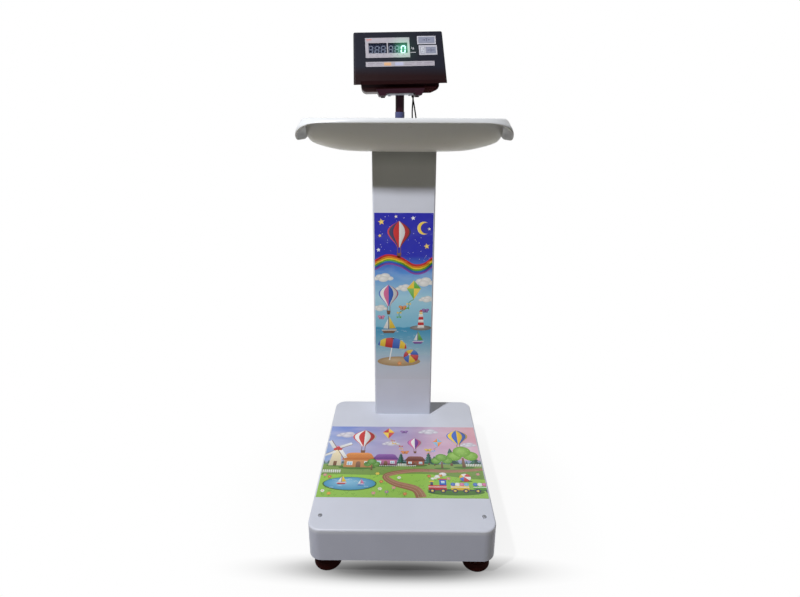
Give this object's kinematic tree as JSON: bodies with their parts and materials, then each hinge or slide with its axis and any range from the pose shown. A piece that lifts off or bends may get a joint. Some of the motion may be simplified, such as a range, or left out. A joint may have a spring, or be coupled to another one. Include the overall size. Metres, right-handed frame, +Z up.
{
  "type": "digital baby weighing scale",
  "caption": "Standing digital weighing scale with a child's platform, a column with a dish-shaped baby tray on top, and a swivelling indicator with display and keys.",
  "frame": {"origin": "on the floor, under the middle of the object's box", "axes": "+Z up, -Y is the front that the display faces, +X is the viewer's right"},
  "size_m": [0.5182, 0.7286, 1.1644],
  "materials": {
    "painted_steel": "semi-gloss grey-white powder coat",
    "frame_steel": "satin dark grey paint",
    "platform_print": "printed vinyl film, satin laminate",
    "column_print": "printed vinyl film, satin laminate",
    "tray_plastic": "moulded ABS, satin gloss",
    "foot_rubber": "matt black rubber",
    "zinc_steel": "bright zinc plated",
    "cell_aluminium": "machined",
    "arm_paint": "blue-grey gloss paint",
    "black_steel": "black satin paint",
    "black_plastic": "fine textured ABS",
    "bezel_film": "light grey printed overlay",
    "window_acrylic": "smoked acrylic",
    "digit_plastic": "seven-segment displays",
    "board_laminate": "green solder mask",
    "key_print": "grey-blue key film",
    "key_surround": "light grey printed overlay",
    "battery_case": "dark grey ABS",
    "transformer_core": "varnished laminations",
    "cable_jacket": "black PVC jacket",
    "rocker_plastic": "glossy black"
  },
  "bodies": {
    "base": {"base_side_rails": "frame_steel", "base_cross_rails": "frame_steel", "foot_nuts": "zinc_steel", "overload_stops": "zinc_steel", "load_cell": "cell_aluminium", "cell_spacer_lower": "cell_aluminium", "cell_bolts_lower": "zinc_steel"},
    "foot_front_left": {"foot_pad_front_left": "foot_rubber", "foot_stud_front_left": "zinc_steel"},
    "foot_front_right": {"foot_pad_front_right": "foot_rubber", "foot_stud_front_right": "zinc_steel"},
    "foot_rear_left": {"foot_pad_rear_left": "foot_rubber", "foot_stud_rear_left": "zinc_steel"},
    "foot_rear_right": {"foot_pad_rear_right": "foot_rubber", "foot_stud_rear_right": "zinc_steel"},
    "platform": {"cell_spacer_upper": "cell_aluminium", "cell_bolts_upper": "zinc_steel", "upper_frame": "frame_steel", "platform_cover": "painted_steel", "platform_film": "platform_print", "cover_screws": "zinc_steel", "column": "painted_steel", "column_film": "column_print", "column_end_plates": "frame_steel", "column_bolts": "zinc_steel", "tray": "tray_plastic", "tray_screws": "zinc_steel", "arm_tube": "arm_paint", "arm_flange": "arm_paint", "arm_screws": "black_steel", "clamp_knob": "black_plastic", "cable_grommet": "foot_rubber", "power_inlet": "black_plastic", "inlet_screws": "zinc_steel", "load_cell_cable": "cable_jacket", "power_cable": "cable_jacket"},
    "head": {"post_tube": "black_steel", "post_plate": "zinc_steel", "plate_screws": "zinc_steel", "mount_saddle": "black_steel", "mount_bolts": "black_steel", "indicator_cover": "black_plastic", "indicator_lower_case": "black_plastic", "case_screws": "zinc_steel", "cable_glands": "black_plastic", "display_bezel": "bezel_film", "display_window": "window_acrylic", "digit_modules": "digit_plastic", "main_board": "board_laminate", "key_switches": "board_laminate", "key_frames": "key_surround", "label_strip": "bezel_film", "battery_pack": "battery_case", "transformer": "transformer_core", "switch_frame": "black_plastic"},
    "tare_key": {"key_tare": "key_print"},
    "unit_key": {"key_unit": "key_print"},
    "zero_key": {"key_zero": "key_print"},
    "rocker": {"power_rocker": "rocker_plastic"}
  },
  "joints": [
    {"name": "load_travel", "type": "slide", "parent": "base", "child": "platform", "axis": [0, 0, -1], "range_m": [0, 0.0008], "stiffness_N_per_m": 600000, "springref_m": -0.0004, "deforming": ["load_cell", "load_cell_cable"]},
    {"name": "level_front_left", "type": "slide", "parent": "base", "child": "foot_front_left", "axis": [0, 0, -1], "range_m": [0, 0.012]},
    {"name": "level_front_right", "type": "slide", "parent": "base", "child": "foot_front_right", "axis": [0, 0, -1], "range_m": [0, 0.012]},
    {"name": "level_rear_left", "type": "slide", "parent": "base", "child": "foot_rear_left", "axis": [0, 0, -1], "range_m": [0, 0.012]},
    {"name": "level_rear_right", "type": "slide", "parent": "base", "child": "foot_rear_right", "axis": [0, 0, -1], "range_m": [0, 0.012]},
    {"name": "indicator_swivel", "type": "hinge", "parent": "platform", "child": "head", "pos_m": [-0.013, 0.2675, 0.955], "axis": [0, 0, 1], "range_deg": [-60, 60], "deforming": ["load_cell_cable", "power_cable"]},
    {"name": "press_tare_key", "type": "slide", "parent": "head", "child": "tare_key", "axis": [-0.0545, 0.8918, -0.4491], "range_m": [0, 0.0005], "stiffness_N_per_m": 1500, "springref_m": -0.0004},
    {"name": "press_unit_key", "type": "slide", "parent": "head", "child": "unit_key", "axis": [-0.0545, 0.8918, -0.4491], "range_m": [0, 0.0005], "stiffness_N_per_m": 1500, "springref_m": -0.0004},
    {"name": "press_zero_key", "type": "slide", "parent": "head", "child": "zero_key", "axis": [-0.0545, 0.8918, -0.4491], "range_m": [0, 0.0005], "stiffness_N_per_m": 1500, "springref_m": -0.0004},
    {"name": "rocker_tip", "type": "hinge", "parent": "head", "child": "rocker", "pos_m": [0.04924, 0.34776, 1.06899], "axis": [0.9968, 0.0749, 0.0279], "range_deg": [0, 16]}
  ]
}
